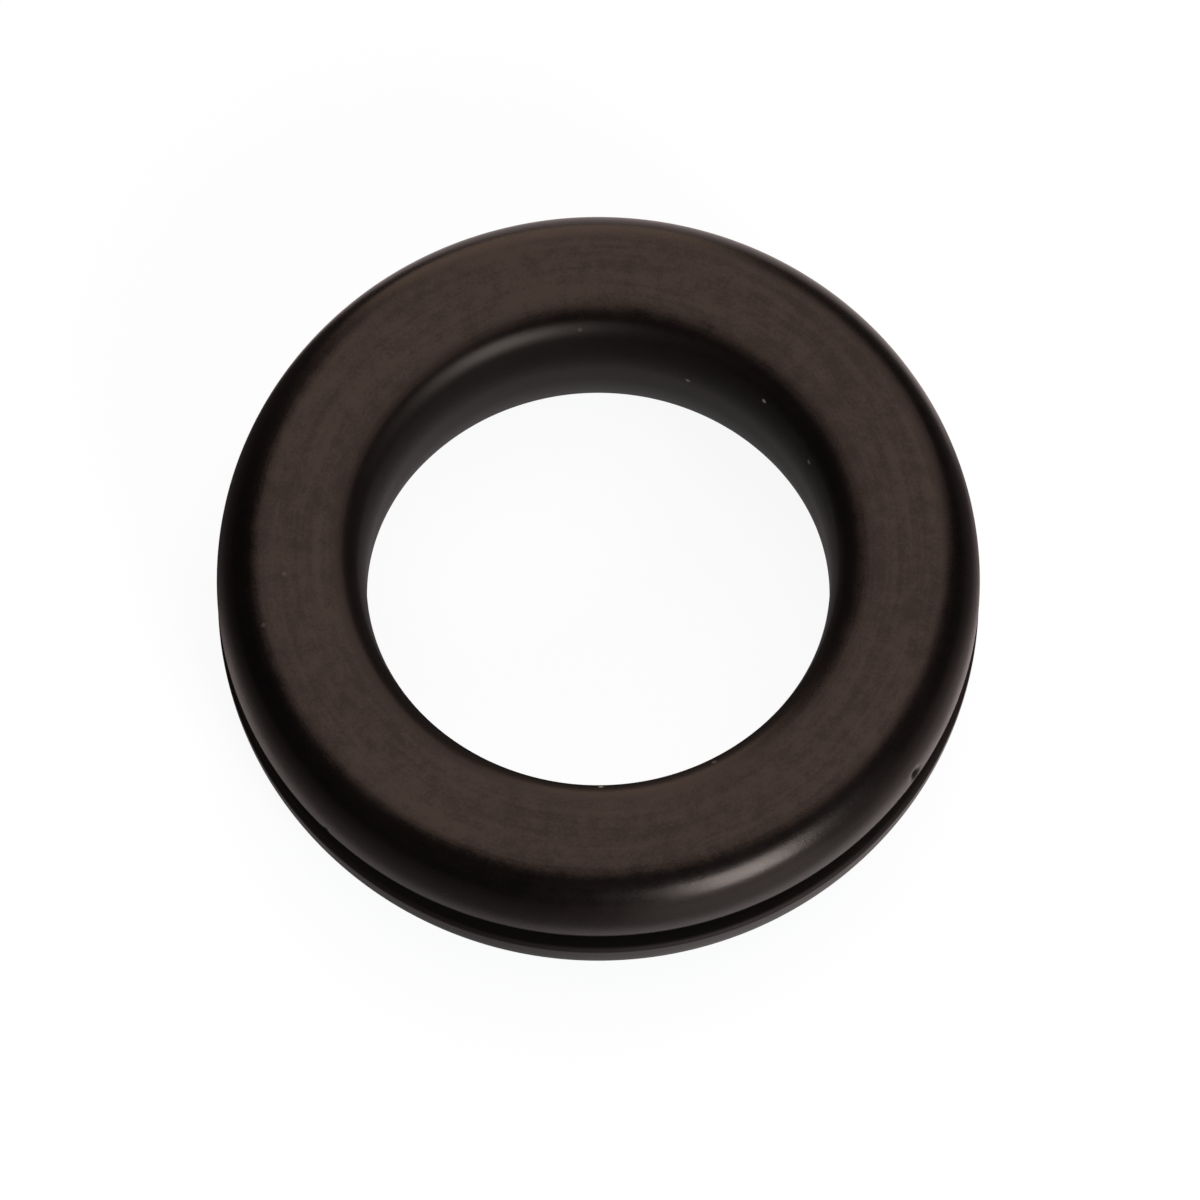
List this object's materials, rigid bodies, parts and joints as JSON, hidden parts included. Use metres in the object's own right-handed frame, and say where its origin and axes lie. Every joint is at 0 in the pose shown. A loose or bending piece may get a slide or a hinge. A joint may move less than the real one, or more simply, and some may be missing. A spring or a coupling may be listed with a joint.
{
  "type": "rubber grommet",
  "caption": "Round black rubber grommet whose groove seats on the edge of a hole in a thin panel and whose crowned bore guards a cable passing through.",
  "frame": {"origin": "centre of the lower flat face, on the axis of the bore", "axes": "+Z along the bore from the lower flat face to the upper one; +X and +Y lie in the lower face and are alike, because the part is round"},
  "size_m": [0.0318, 0.0318, 0.008],
  "materials": {
    "rubber": "satin"
  },
  "bodies": {
    "root": {"grommet": "rubber"}
  },
  "joints": []
}
